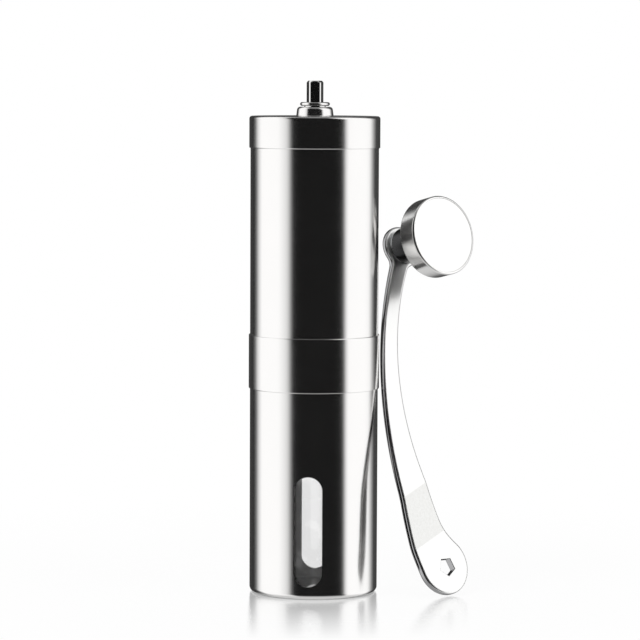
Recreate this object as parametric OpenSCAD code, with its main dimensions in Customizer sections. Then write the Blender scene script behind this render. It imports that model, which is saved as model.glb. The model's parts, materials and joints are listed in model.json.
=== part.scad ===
// Hand crank coffee grinder: a steel hopper tube over a catch cup, with ceramic burrs between them.
// The crank is taken off and leans on the grinder. Millimetres, +Z up, origin under the cup's centre.

/* [Body] */
// Outside diameter of the hopper tube and the catch cup
body_d = 47.5; // [47:0.5:56]
// Sheet thickness of the hopper tube
tube_wall = 0.6; // [0.4:0.1:1.2]
// Sheet thickness of the catch cup
cup_wall = 0.5; // [0.4:0.1:1]
// Height of the catch cup below the band
cup_show_h = 76; // [66:1:100]
// How far the cup reaches up inside the band
cup_lap = 9.5; // [6:0.5:12]
// Rounding of the cup's bottom edge
cup_edge_r = 2; // [0.8:0.1:4]
// Length of the hopper tube that shows between band and lid
tube_show_h = 69; // [50:1:100]

/* [Joint band] */
// Height of the band that holds cup and tube in line
band_h = 20; // [16:0.5:28]
// Thickness of the band outside the tube
band_wall = 0.4; // [0.3:0.05:0.8]
// Chamfer on the band's two edges
band_edge = 0.2; // [0.1:0.05:0.25]

/* [Windows] */
// Width of a window slot
slot_w = 10.3; // [6:0.1:14]
// Height of a window slot
slot_h = 40.4; // [24:0.2:50]
// Height of a slot's lower end above the base
slot_z = 4.9; // [4:0.1:12]
// Turn of the front slot about the axis
slot_turn = -4.75; // [-20:0.25:20]
// Turn from the front slot to the rear slot
slot_spacing = 183; // [160:1:200]

/* [Cup liner] */
// Wall of the clear liner
liner_wall = 1; // [0.8:0.1:1.6]
// Thickness of the liner's floor
liner_floor = 1.2; // [0.8:0.1:2]
// Gap between the liner's rim and the burr carrier
liner_top_gap = 0.8; // [0.4:0.1:4]

/* [Lid] */
// Height of the lid's skirt
lid_h = 11.8; // [8:0.2:16]
// Sheet thickness of the lid
lid_wall = 0.4; // [0.3:0.05:0.8]
// Rounding of the lid's top edge
lid_edge_r = 1; // [0.6:0.1:2]
// Height of the lid's neck
neck_h = 2.9; // [2:0.1:5]
// Diameter of the neck where it meets the lid
neck_base_d = 13.8; // [13:0.1:18]
// Diameter of the neck at its top
neck_top_d = 12.2; // [12:0.05:12.9]
// Depth of the lid liner's plug below the tube's rim
plug_h = 5.6; // [3:0.2:9]
// Wall of the lid liner
plug_wall = 1.4; // [1:0.1:2]
// Thickness of the liner's lip between rim and lid
lip_t = 0.7; // [0.5:0.1:1.2]

/* [Drive shaft] */
// Distance from the head's centre to a corner of the pentagon
head_r = 3.35; // [2.8:0.05:3.5]
// Height of the pentagon head above its flange
head_h = 7.9; // [6:0.1:11]
// Chamfer at the top of the head
head_edge = 0.9; // [0.4:0.1:1.2]
// Diameter of the flange that the crank sits on
flange_d = 11; // [9.6:0.1:11]
// Thickness of the flange
flange_t = 1.4; // [1:0.1:2]
// Gap between the lid's neck and the flange
neck_gap = 0.8; // [0.4:0.1:1.5]
// Diameter of the upper journal
journal_d = 8; // [7.2:0.1:8.6]
// Length of the upper journal below its clip
journal_tail = 6; // [3:0.5:9]
// Diameter of the shaft below the upper journal
shaft_d = 6; // [5.4:0.1:6.6]
// Diameter of the threaded end
thread_d = 5; // [4.4:0.1:5.2]
// Distance across the two flats along the threaded end
flats_w = 4; // [3.4:0.1:4.3]
// Rise of the thread in one turn
thread_pitch = 0.8; // [0.5:0.1:1]

/* [Upper bridge] */
// Height of the bridge
bridge_h = 7; // [5:0.5:10]
// Distance from the bridge's top to the tube's rim
bridge_drop = 8.5; // [7:0.5:14]
// Wall of the bridge's ring
bridge_wall = 1.5; // [1.2:0.1:2.5]
// Width of a bridge arm
bridge_arm_w = 3; // [2:0.2:5]
// Diameter of the bridge's boss
bridge_boss_d = 15; // [14.4:0.2:18]
// Diameter of the upper bush
upper_bush_d = 12; // [11:0.2:13]
// Flange thickness of both bushes
bush_flange_t = 1; // [0.8:0.1:1.5]

/* [Burr carrier] */
// Height of the carrier above the cup's rim
carrier_rise = 14.5; // [12:0.5:20]
// Wall of the funnel's upper edge
funnel_edge = 1.2; // [0.8:0.1:2]
// Radius of the throat above the burrs
throat_r = 13.5; // [12:0.1:14]
// Wall of the carrier's lower skirt
skirt_wall = 1.5; // [1.2:0.1:1.8]
// Diameter of the carrier's centre boss
boss_d = 13; // [12:0.2:15]
// Height of the centre boss
boss_h = 9.5; // [7:0.5:12]
// Width of a carrier web
web_w = 2.6; // [2:0.1:4]
// Distance from the carrier's top to the boss's top
boss_drop = 1.5; // [1:0.1:3]
// Diameter of the lower bush
lower_bush_d = 9.2; // [8.2:0.1:10]
// Overhang of the lower bush's flange
lower_flange_w = 1.2; // [0.8:0.1:1.6]

/* [Burrs] */
// Outside diameter of the ring burr
ring_d = 36; // [33:0.5:36.5]
// Height of the ring burr
ring_h = 11; // [9:0.5:14]
// Depth of the ring burr's top below the cup's rim
ring_drop = 1.5; // [0.5:0.1:3]
// Inside radius of the ring burr at its lower edge
ring_mouth_r = 15.3; // [14.8:0.1:15.6]
// Narrowing of the ring burr's mouth above its lower edge
ring_mouth_taper = 0.3; // [0.1:0.05:0.5]
// Gap between the burrs at the finest setting
grind_gap = 0.5; // [0.35:0.05:1]
// Height of the cone burr
cone_h = 12.9; // [11:0.1:15]
// Radius of the cone burr's top
cone_top_r = 7; // [6.4:0.1:8]
// How far the cone burr's foot hangs below the ring burr
cone_drop = 1.4; // [0.8:0.1:2]
// Height of the cone burr's straight foot
cone_foot_h = 1.6; // [1:0.1:3]
// Depth of the spring pocket in the cone burr
pocket_h = 6; // [4:0.5:8]
// Number of grooves in the cone burr
cone_teeth = 12; // [8:1:16]
// Number of grooves in the ring burr
ring_teeth = 18; // [12:1:24]
// Width of the square cutter for the cone burr's V grooves
cone_vee_w = 1.8; // [1.2:0.1:2.2]
// Diameter of the cutter for the ring burr's grooves
groove_d = 2.2; // [1.6:0.1:2.8]
// Length of the ring burr's groove cutter
ring_groove_l = 15.4; // [12:0.2:20]
// Slant of the grooves
groove_skew = 28; // [10:1:40]

/* [Retainer] */
// Thickness of the ring that holds the ring burr
retainer_t = 2.2; // [1.6:0.1:3]
// Inside overlap of the retainer under the ring burr
retainer_lip = 2; // [1.5:0.1:2.1]
// Turn of the first retainer screw about the axis
screw_turn = 60; // [0:5:90]
// Number of retainer screws
screw_count = 3; // [3:1:6]
// Thread diameter of a retainer screw
screw_d = 1.8; // [1.4:0.1:2]
// Head diameter of a retainer screw
screw_head_d = 2.8; // [2.2:0.1:3]
// Head height of a retainer screw
screw_head_h = 1.1; // [0.8:0.1:1.4]
// Length of the cross recess in a screw head
screw_cross_l = 1.7; // [1:0.1:2]
// Width of the cross recess
screw_cross_w = 0.36; // [0.2:0.02:0.5]
// Length of a retainer screw under its head
screw_len = 7; // [5:0.5:9]

/* [Spring] */
// Wire diameter of the burr spring
wire_d = 0.9; // [0.6:0.1:1]
// Mean diameter of the spring's coils
coil_d = 8.2; // [7.8:0.1:8.6]
// Clearance around the spring in its pocket
pocket_gap = 0.6; // [0.4:0.1:0.8]
// Turns of the spring
coil_turns = 4.5; // [3:0.5:6]
// Thickness of the washer under the spring
washer_t = 0.8; // [0.5:0.1:1.2]

/* [Adjuster] */
// Thickness of the click plate
click_t = 1.2; // [1:0.1:2]
// Diameter of the click plate
click_d = 18; // [16:0.5:22]
// Number of click notches
click_count = 12; // [8:1:18]
// Width of a click notch's cutter
click_notch = 0.7; // [0.4:0.1:0.9]
// Length of a click notch's cutter
click_notch_len = 2.8; // [1:0.2:4]
// Diameter of the adjuster knob over its lobes
adjuster_d = 25; // [22:0.5:28]
// Height of the adjuster knob
adjuster_h = 8.8; // [7:0.2:12]
// Number of lobes on the adjuster knob
lobe_count = 7; // [5:1:9]
// Diameter of the cutter between two lobes
lobe_cut_d = 7; // [5:0.5:8]
// How far the centre of that cutter lies outside the knob
lobe_cut_out = 1.4; // [0.5:0.1:2.5]
// Plastic left below the brass insert
insert_floor = 2; // [1:0.2:3]
// Distance across the flats of the brass insert
insert_w = 8; // [7:0.2:10]
// Turns that the adjuster has from fine to coarse
adjuster_turns = 2; // [1:0.5:3]

/* [Crank arm] */
// Distance from the drive hole to the knob's pin
crank_reach = 123.7; // [100:0.1:150]
// Thickness of the arm's plate
arm_t = 2.9; // [2:0.1:4]
// Radius of the arm's hub end
hub_r = 11.1; // [8:0.1:13]
// Distance from the drive hole to the hub end's centre, along the arm
hub_shift_x = 0.7; // [0:0.1:2]
// Distance from the drive hole to the hub end's centre, across the arm
hub_shift_y = 0.9; // [0:0.1:2]
// Radius of the arm's knob end
end_r = 8; // [7:0.1:10]
// Radius of the arm's outer edge, which runs on into the hub end
outer_r = 164; // [140:1:200]
// Crest of the outer edge, as a share of the reach
outer_crest_at = 0.404; // [0.38:0.001:0.46]
// Radius of the arm's inner edge
inner_r = 109; // [100:1:130]
// Crest of the inner edge, as a share of the reach
inner_crest_at = 0.524; // [0.5:0.001:0.58]
// Height of the inner edge's crest beside the line from hole to pin
inner_crest = 11.1; // [8:0.1:13]
// Radius of the flare where the inner edge runs into the hub end
flare_r = 30; // [20:1:40]
// Radius of the fillets where the blade meets its knob end
arm_fillet = 4; // [4:0.5:16]
// Step of the arm above its hub
joggle_h = 3.2; // [1:0.1:5]
// Distance from the drive hole to the lower bend
bend_near = 11.8; // [11:0.1:16]
// Distance from the drive hole to the upper bend
bend_far = 30.8; // [22:0.1:40]
// Turn of the bend lines against the line from hole to pin
bend_turn = 27.3; // [15:0.1:40]
// Turn of the pentagon hole within the hub
socket_turn = 40; // [0:1:72]

/* [Knob] */
// Diameter of the knob
knob_d = 30; // [24:0.5:36]
// Height of the knob's drum
drum_h = 8; // [6:0.2:14]
// Height of the knob's face above the arm
knob_rise = 23.8; // [20:0.2:34]
// Lean of the knob's axis, towards the hub, from square to the arm
knob_lean = 7.8; // [0:0.1:10]
// Direction in which the knob leans, seen from the line from hole to pin
knob_lean_turn = 196; // [150:1:210]
// Diameter of the knob's neck
neck_d = 13.5; // [12:0.1:15]
// Wall of the knob's shell
knob_wall = 0.8; // [0.6:0.1:1.2]
// Rounding of the drum's edges
drum_edge_r = 0.8; // [0.4:0.1:1.5]
// Diameter of the knob's pin
pin_d = 6; // [5:0.1:7]
// Diameter of the pin's head inside the knob
pin_head_d = 9; // [8:0.1:10]
// Thickness of the core's disc inside the drum
core_disc_t = 2; // [1.5:0.1:2.5]
// Diameter of the tapered washer between arm and knob
pin_washer_d = 12.5; // [11:0.1:14]
// Thickness of the washer at its thin side
pin_washer_t = 0.4; // [0.3:0.1:1.2]

/* [Crank stand] */
// Turn of the leaning crank about the vertical
crank_turn = 38; // [30:0.5:46]
// Tip of the crank's plate from level
crank_tip = 69.5; // [62:0.5:76]
// Roll of the crank within its own plane
crank_roll = 84.9; // [78:0.1:90]
// Distance of the drive hole in front of the grinder's axis
crank_front = 12.4; // [6:0.1:20]

/* [Fits] */
// Radial clearance of a running or sliding fit
run_gap = 0.07; // [0.03:0.01:0.1]
// Clearance where two moving pieces only pass each other
pass_gap = 0.2; // [0.15:0.05:0.3]
// Gap between the leaning crank and the widest ring of the grinder
lean_gap = 0.3; // [0.3:0.05:1]
// Radial clearance of the crank's pentagon hole on the head
socket_gap = 0.25; // [0.1:0.05:0.4]

/* [Hidden] */
$fn = 96;
over = 1;

// Radii of the sheet metal
body_r = body_d / 2;
tube_in_r = body_r - tube_wall;
cup_in_r = body_r - cup_wall;
band_r = body_r + run_gap + band_wall;
lid_in_r = body_r + run_gap;
lid_r = lid_in_r + lid_wall;

// Heights from the base up
cup_top = cup_show_h + cup_lap;
tube_z = cup_top + run_gap;
band_top = cup_show_h + band_h;
lid_z = band_top + tube_show_h;
lid_top = lid_z + lid_h;
lid_under = lid_top - lid_wall;
tube_top = lid_under - lip_t - run_gap;
neck_top = lid_top + neck_h;
flange_z = neck_top + neck_gap;
head_z = flange_z + flange_t;
shaft_top = head_z + head_h;

// Lid neck and the parts that pass through it
neck_in_r = flange_d / 2 + pass_gap;
neck_edge_r = min(0.3, (neck_top_d / 2 - neck_in_r) / 2);
collar_d = flange_d - pass_gap;

// Upper bridge and its bush
bridge_top = tube_top - bridge_drop;
bridge_z = bridge_top - bridge_h;
collar_z = bridge_top + bush_flange_t + run_gap;
collar_t = 1.5;
clip_t = 0.8;
clip_z = bridge_z - clip_t - run_gap;
clip_groove_r = shaft_d / 2 + (journal_d - shaft_d) / 4;
clip_r = upper_bush_d / 2 - pass_gap;
clip_mouth_w = 1.6 * clip_groove_r;
journal_z = clip_z - journal_tail;

// Burr stack from the top down
carrier_top = cup_top + carrier_rise;
ring_top = cup_top - ring_drop;
ring_z = ring_top - ring_h;
retainer_z = ring_z - retainer_t;
skirt_z = retainer_z - screw_head_h / 4;
skirt_r = cup_in_r - run_gap;
recess_r = skirt_r - skirt_wall;
retainer_in_r = ring_d / 2 - retainer_lip;
screw_ring_r = (ring_d / 2 + recess_r) / 2;
cone_z = ring_z - cone_drop;
cone_top = cone_z + cone_h;
cone_r = ring_mouth_r - grind_gap;
cone_flank_z = cone_z + cone_foot_h;
cone_slant = atan((cone_r - cone_top_r) / (cone_top - cone_flank_z));
ring_slant = atan((ring_mouth_r - throat_r) / ring_h);
boss_top = carrier_top - boss_drop;
boss_z = boss_top - boss_h;
lower_bush_z = boss_z - bush_flange_t;
lower_flange_r = lower_bush_d / 2 + lower_flange_w;
pocket_z = cone_top - pocket_h;
pocket_r = coil_d / 2 + wire_d / 2 + pocket_gap;
spring_z = pocket_z + washer_t;
spring_h = lower_bush_z - spring_z;

// Adjuster below the burrs
travel = adjuster_turns * thread_pitch;
click_z = cone_z - click_t;
adjuster_top = click_z - run_gap;
adjuster_z = adjuster_top - adjuster_h;
insert_h = adjuster_h - insert_floor;
thread_z = adjuster_z - travel - over;
flats_top = pocket_z + pass_gap;

// Cup liner
liner_r = cup_in_r - run_gap;
liner_top = skirt_z - liner_top_gap;

// Crank: local x runs from the drive hole to the pin, local z out of the plate's knob side
hub_c = [hub_shift_x, hub_shift_y];
outer_x = crank_reach * outer_crest_at;
inner_x = crank_reach * inner_crest_at;
outer_c = [outer_x, hub_shift_y - sqrt((outer_r - hub_r) ^ 2 - (outer_x - hub_shift_x) ^ 2)];
inner_c = [inner_x, inner_crest - inner_r];
socket_r = head_r + socket_gap;
drum_z = knob_rise - drum_h;
washer_top = pin_washer_t + pin_washer_d / 2 * tan(knob_lean);
core_z = washer_top + run_gap;
core_top = drum_z + knob_wall + core_disc_t;
pin_head_t = 1.4;
knob_face_t = 1;
face_gap = 0.1;
knob_face_r = knob_d / 2 - knob_wall - face_gap;

// Direction cosines of the leaning crank's placement
function turned(p, a) = [p[0] * cos(a) - p[1] * sin(a), p[0] * sin(a) + p[1] * cos(a), p[2]];
function tipped(p, a) = [p[0], p[1] * cos(a) - p[2] * sin(a), p[1] * sin(a) + p[2] * cos(a)];
function leaning(p) = turned(tipped(turned(p, crank_roll), crank_tip), crank_turn);

// Height of an edge circle above the line from hub to pin
function edge_y(c, r, x) = c[1] + sqrt(r ^ 2 - (x - c[0]) ^ 2);

// Points along the arm's outer edge, on both faces, as they stand in the leaning pose
outer_edge = [
    for (x = [10 : 2 : crank_reach - 10], z = [0, -arm_t])
        leaning([x, edge_y(outer_c, outer_r, x), z])
];

// The crank stands as near to the grinder as the lean gap lets it
lean_r = max(lid_r, band_r) + lean_gap;
crank_y = -crank_front;
crank_x = max([for (p = outer_edge) sqrt(max(0, lean_r ^ 2 - (crank_y + p[1]) ^ 2)) - p[0]]);
crank_z = hub_r * sin(crank_tip) - leaning([hub_shift_x, hub_shift_y, -joggle_h - arm_t])[2];

// Meeting point of two circles, on the left of the line from the first to the second
function meet(a, ra, b, rb) =
    let (d = norm(b - a), e = (b - a) / d, s = (d ^ 2 + ra ^ 2 - rb ^ 2) / (2 * d))
    a + s * e + sqrt(ra ^ 2 - s ^ 2) * [-e[1], e[0]];

// Direction from c to p
function heading(c, p) = atan2(p[1] - c[1], p[0] - c[0]);

// The same direction as a negative angle
function below(a) = a > 0 ? a - 360 : a;

// Points along an arc
function arc(c, r, from, to, steps) =
    [for (i = [0 : steps]) let (a = from + (to - from) * i / steps) c + r * [cos(a), sin(a)]];

// Solid of revolution's corner block: a rectangle with its outer bottom corner rounded
module rounded_foot(w, h, r) {
    square([w - r, h]);
    translate([0, r]) square([w, h - r]);
    translate([w - r, r]) circle(r);
}

// A tube, closed or open
module ring(r_out, r_in, h) {
    difference() {
        cylinder(r = r_out, h = h);
        translate([0, 0, -over]) cylinder(r = r_in, h = h + 2 * over);
    }
}

// A window slot's cutter, pointing out along -Y
module slot_cut() {
    r = slot_w / 2;
    for (z = [slot_z + r, slot_z + slot_h - r])
        translate([0, 0, z]) rotate([90, 0, 0]) cylinder(r = r, h = body_r + over);
    translate([-r, -body_r - over, slot_z + r]) cube([slot_w, body_r + over, slot_h - slot_w]);
}

module catch_cup() color("#c9cbcd") difference() {
    rotate_extrude() difference() {
        rounded_foot(body_r, cup_top, cup_edge_r);
        translate([0, cup_wall]) rounded_foot(cup_in_r, cup_top, cup_edge_r - cup_wall / 2);
    }
    for (turn = [slot_turn, slot_turn + slot_spacing]) rotate([0, 0, turn]) slot_cut();
}

module cup_liner() color("#dfe6ea", 0.4) rotate_extrude() difference() {
    translate([0, cup_wall]) rounded_foot(liner_r, liner_top - cup_wall, cup_edge_r);
    translate([0, cup_wall + liner_floor])
        rounded_foot(liner_r - liner_wall, liner_top, cup_edge_r - liner_wall / 2);
}

module joint_band() color("#d2d4d6") rotate_extrude() difference() {
    polygon([
        [body_r - band_edge, cup_show_h],
        [band_r - band_edge, cup_show_h],
        [band_r, cup_show_h + band_edge],
        [band_r, band_top - band_edge],
        [band_r - band_edge, band_top],
        [body_r - band_edge, band_top]
    ]);
    square([body_r + run_gap, tube_z]);
    square([body_r, band_top + over]);
}

module hopper_tube() color("#c9cbcd") translate([0, 0, tube_z])
    ring(body_r, tube_in_r, tube_top - tube_z);

module carrier_shell() rotate_extrude() polygon([
    [skirt_r, skirt_z],
    [skirt_r, tube_z],
    [tube_in_r, tube_z],
    [tube_in_r, carrier_top],
    [tube_in_r - funnel_edge, carrier_top],
    [throat_r, cup_top],
    [throat_r, ring_top],
    [ring_d / 2, ring_top],
    [ring_d / 2, ring_z],
    [recess_r, ring_z],
    [recess_r, skirt_z]
]);

module burr_carrier() color("#26272a") difference() {
    union() {
        carrier_shell();
        translate([0, 0, boss_z]) cylinder(d = boss_d, h = boss_h);
        for (i = [0 : 2]) rotate([0, 0, i * 120])
            translate([0, -web_w / 2, boss_z]) cube([tube_in_r - funnel_edge, web_w, boss_h]);
    }
    translate([0, 0, boss_z - over]) cylinder(d = lower_bush_d, h = boss_h + 2 * over);
    screw_places() cylinder(d = screw_d, h = screw_len - retainer_t + over);
}

// Places of the retainer screws, at the joint between retainer and carrier
module screw_places() for (i = [0 : screw_count - 1])
    rotate([0, 0, i * 360 / screw_count + screw_turn]) translate([screw_ring_r, 0, ring_z]) children();

module ring_burr() color("#efeae0") difference() {
    rotate_extrude() polygon([
        [ring_mouth_r, ring_z],
        [ring_d / 2, ring_z],
        [ring_d / 2, ring_top],
        [throat_r, ring_top],
        [ring_mouth_r - ring_mouth_taper, ring_z + ring_h / 3]
    ]);
    for (i = [0 : ring_teeth - 1]) rotate([0, 0, i * 360 / ring_teeth])
        translate([throat_r + groove_d / 6, 0, ring_top]) rotate([groove_skew, -ring_slant, 0])
            cylinder(d = groove_d, h = ring_groove_l, center = true);
}

module burr_retainer() color("#26272a") difference() {
    translate([0, 0, retainer_z]) ring(recess_r, retainer_in_r, retainer_t);
    screw_places() translate([0, 0, -retainer_t - over]) cylinder(d = screw_d, h = retainer_t + 2 * over);
    screw_places() translate([0, 0, -retainer_t - over])
        cylinder(d = screw_head_d, h = screw_head_h + over);
}

module retainer_screws() color("#8d9094") screw_places() {
    translate([0, 0, -retainer_t]) difference() {
        cylinder(d = screw_head_d, h = screw_head_h);
        for (a = [0, 90]) rotate([0, 0, a])
            cube([screw_cross_l, screw_cross_w, screw_head_h], center = true);
    }
    translate([0, 0, screw_head_h - retainer_t]) cylinder(d = screw_d, h = screw_len - screw_head_h);
}

module upper_bridge() color("#26272a") difference() {
    translate([0, 0, bridge_z]) union() {
        ring(tube_in_r, tube_in_r - bridge_wall, bridge_h);
        cylinder(d = bridge_boss_d, h = bridge_h);
        for (i = [0 : 2]) rotate([0, 0, i * 120])
            translate([0, -bridge_arm_w / 2, 0])
                cube([tube_in_r - bridge_wall / 2, bridge_arm_w, bridge_h]);
    }
    translate([0, 0, bridge_z - over]) cylinder(d = upper_bush_d, h = bridge_h + 2 * over);
}

module upper_bush() color("#d8d3c4") difference() {
    union() {
        translate([0, 0, bridge_z]) cylinder(d = upper_bush_d, h = bridge_h);
        translate([0, 0, bridge_top]) cylinder(d = bridge_boss_d, h = bush_flange_t);
    }
    translate([0, 0, bridge_z - over])
        cylinder(r = journal_d / 2 + run_gap, h = bridge_h + bush_flange_t + 2 * over);
}

module lower_bush() color("#d8d3c4") difference() {
    union() {
        translate([0, 0, boss_z]) cylinder(d = lower_bush_d, h = boss_h);
        translate([0, 0, lower_bush_z]) cylinder(r = lower_flange_r, h = bush_flange_t);
    }
    translate([0, 0, lower_bush_z - over])
        cylinder(r = shaft_d / 2 + run_gap, h = boss_h + bush_flange_t + 2 * over);
}

// Pentagon head with one flat side facing -Y
module shaft_head() intersection() {
    translate([0, 0, head_z]) rotate([0, 0, 18]) cylinder(r = head_r, h = head_h, $fn = 5);
    rotate_extrude() polygon([
        [0, head_z],
        [head_r + over, head_z],
        [head_r + over, shaft_top - head_edge - over],
        [head_r - head_edge, shaft_top],
        [0, shaft_top]
    ]);
}

module shaft_flange() translate([0, 0, flange_z]) rotate_extrude() {
    square([flange_d / 2 - flange_t / 2, flange_t]);
    translate([flange_d / 2 - flange_t / 2, flange_t / 2]) circle(flange_t / 2);
}

// Two flats on a bar of radius r
module flatted(r, w, h) intersection() {
    cylinder(r = r, h = h);
    translate([-r, -w / 2, 0]) cube([2 * r, w, h]);
}

module drive_shaft() color("#d2d4d6") difference() {
    union() {
        shaft_head();
        shaft_flange();
        translate([0, 0, journal_z]) cylinder(d = journal_d, h = flange_z - journal_z);
        translate([0, 0, collar_z]) cylinder(d = collar_d, h = collar_t);
        translate([0, 0, flats_top]) cylinder(d = shaft_d, h = journal_z - flats_top);
        translate([0, 0, thread_z]) flatted(thread_d / 2, flats_w, flats_top - thread_z);
    }
    translate([0, 0, clip_z]) ring(journal_d, clip_groove_r, clip_t);
}

module shaft_clip() color("#8d9094") translate([0, 0, clip_z]) difference() {
    ring(clip_r, clip_groove_r, clip_t);
    translate([0, -clip_mouth_w / 2, -over]) cube([clip_r + over, clip_mouth_w, clip_t + 2 * over]);
}

// Centre of the spring's wire at turn t
function coil(t) =
    let (rise = spring_h - wire_d)
    [coil_d / 2 * cos(360 * t), coil_d / 2 * sin(360 * t), spring_z + wire_d / 2 + rise * t / coil_turns];

module burr_spring() {
    steps = 20;
    sides = 8;
    rings = coil_turns * steps;
    points = [
        for (i = [0 : rings], j = [0 : sides - 1])
            let (t = i / steps, c = coil(t), a = 360 * j / sides)
            c + wire_d / 2 * [cos(a) * cos(360 * t), cos(a) * sin(360 * t), sin(a)]
    ];
    skin = [
        for (i = [0 : rings - 1], j = [0 : sides - 1])
            let (k = (j + 1) % sides)
            [i * sides + j, i * sides + k, (i + 1) * sides + k, (i + 1) * sides + j]
    ];
    caps = [[for (j = [sides - 1 : -1 : 0]) j], [for (j = [0 : sides - 1]) rings * sides + j]];
    color("#a9acb0") polyhedron(points, concat(skin, caps));
}

module spring_washer() color("#a9acb0") translate([0, 0, pocket_z])
    ring(pocket_r - pass_gap, shaft_d / 2 + run_gap, washer_t);

module cone_burr() color("#efeae0") difference() {
    rotate_extrude() polygon([
        [0, cone_z],
        [cone_r, cone_z],
        [cone_r, cone_flank_z],
        [cone_top_r, cone_top],
        [0, cone_top]
    ]);
    translate([0, 0, pocket_z]) cylinder(r = pocket_r, h = pocket_h + over);
    translate([0, 0, cone_z - over]) flatted(thread_d / 2 + run_gap, flats_w + 2 * run_gap, cone_h);
    for (i = [0 : cone_teeth - 1]) rotate([0, 0, i * 360 / cone_teeth])
        translate([(cone_r + cone_top_r + cone_vee_w) / 2, 0, (cone_flank_z + cone_top) / 2])
            rotate([-groove_skew, -cone_slant, 0]) rotate([0, 0, 45])
                cube([cone_vee_w, cone_vee_w, 2 * cone_h], center = true);
}

module click_plate() color("#8d9094") translate([0, 0, click_z]) difference() {
    cylinder(d = click_d, h = click_t);
    translate([0, 0, -over]) flatted(thread_d / 2 + run_gap, flats_w + 2 * run_gap, click_t + 2 * over);
    for (i = [0 : click_count - 1]) rotate([0, 0, i * 360 / click_count])
        translate([click_d / 2, 0, 0]) rotate([45, 0, 0])
            cube([click_notch_len, click_notch, click_notch], center = true);
}

module adjuster_knob() color("#26272a") translate([0, 0, adjuster_z]) difference() {
    cylinder(d = adjuster_d, h = adjuster_h);
    for (i = [0 : lobe_count - 1]) rotate([0, 0, i * 360 / lobe_count])
        translate([adjuster_d / 2 + lobe_cut_out, 0, -over])
            cylinder(d = lobe_cut_d, h = adjuster_h + 2 * over);
    translate([0, 0, -over]) cylinder(d = thread_d + 2 * pass_gap, h = adjuster_h + 2 * over);
    translate([0, 0, adjuster_h - insert_h]) cylinder(d = insert_w / cos(30), h = insert_h + over, $fn = 6);
}

module adjuster_insert() color("#c8a24a") translate([0, 0, adjuster_top - insert_h]) difference() {
    cylinder(d = insert_w / cos(30), h = insert_h, $fn = 6);
    translate([0, 0, -over]) cylinder(r = thread_d / 2 + run_gap, h = insert_h + 2 * over);
}

module lid() color("#d2d4d6") rotate_extrude() difference() {
    union() {
        translate([0, lid_z]) square([lid_r, lid_h - lid_edge_r]);
        translate([0, lid_z]) square([lid_r - lid_edge_r, lid_h]);
        translate([lid_r - lid_edge_r, lid_top - lid_edge_r]) circle(lid_edge_r);
        polygon([
            [0, lid_under],
            [neck_base_d / 2, lid_under],
            [neck_base_d / 2, lid_top],
            [neck_top_d / 2, neck_top - neck_edge_r],
            [neck_top_d / 2 - neck_edge_r, neck_top],
            [0, neck_top]
        ]);
    }
    square([neck_in_r, neck_top + over]);
    square([lid_in_r, lid_under]);
}

module lid_liner() color("#2c2d30") rotate_extrude() difference() {
    union() {
        translate([0, lid_under - lip_t]) square([body_r, lip_t]);
        translate([0, lid_under - lip_t - plug_h]) square([tube_in_r - run_gap, plug_h]);
    }
    square([tube_in_r - run_gap - plug_wall, lid_under + over]);
}

// Stands the crank on its hub end, leaning on the grinder
module leaned() translate([crank_x, crank_y, crank_z])
    rotate([crank_tip, 0, crank_turn]) rotate([0, 0, crank_roll]) children();

// Stands pieces on the arm's pin end, along the knob's leaning axis
module on_pin() translate([crank_reach, 0, 0])
    rotate([0, 0, knob_lean_turn]) rotate([0, knob_lean, 0]) children();

// Outline of the flat arm; the outer edge's circle touches the hub end from inside
module arm_outline() {
    pin = [crank_reach, 0];
    flare_c = meet(hub_c, hub_r + flare_r, inner_c, inner_r - flare_r);
    outer_f = meet(outer_c, outer_r + arm_fillet, pin, end_r + arm_fillet);
    inner_f = meet(inner_c, inner_r - arm_fillet, pin, end_r + arm_fillet);
    hub_from = heading(outer_c, hub_c);
    hub_to = heading(hub_c, flare_c) + 360;
    polygon(concat(
        arc(hub_c, hub_r, hub_from, hub_to, 28),
        arc(flare_c, flare_r, heading(flare_c, hub_c), heading(inner_c, flare_c), 8),
        arc(inner_c, inner_r, heading(inner_c, flare_c), heading(inner_c, inner_f), 28),
        arc(inner_f, arm_fillet, heading(inner_c, inner_f), heading(inner_f, pin), 6),
        arc(pin, end_r, below(heading(pin, inner_f)), heading(pin, outer_f), 24),
        arc(outer_f, arm_fillet, heading(outer_f, pin), heading(outer_f, outer_c), 6),
        arc(outer_c, outer_r, heading(outer_c, outer_f), hub_from, 32)
    ));
}

// Side view of the arm: hub, ramp and blade
module arm_side() {
    slope = atan(joggle_h / (bend_far - bend_near));
    shift = arm_t * tan(slope / 2);
    reach = crank_reach + 2 * end_r;
    back = -hub_r - norm(hub_c) - over;
    polygon([
        [back, -joggle_h - arm_t],
        [bend_near + shift, -joggle_h - arm_t],
        [bend_far + shift, -arm_t],
        [reach, -arm_t],
        [reach, 0],
        [bend_far, 0],
        [bend_near, -joggle_h],
        [back, -joggle_h]
    ]);
}

module crank_arm() color("#dadbdc") leaned() difference() {
    intersection() {
        translate([0, 0, -joggle_h - arm_t - over])
            linear_extrude(joggle_h + arm_t + 2 * over) arm_outline();
        rotate([0, 0, bend_turn]) translate([0, crank_reach, 0]) rotate([90, 0, 0])
            linear_extrude(2 * crank_reach) arm_side();
    }
    translate([0, 0, -joggle_h - arm_t - over]) rotate([0, 0, socket_turn])
        cylinder(r = socket_r, h = arm_t + 2 * over, $fn = 5);
    on_pin() translate([0, 0, -2 * arm_t]) cylinder(d = pin_d, h = 3 * arm_t);
}

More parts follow.
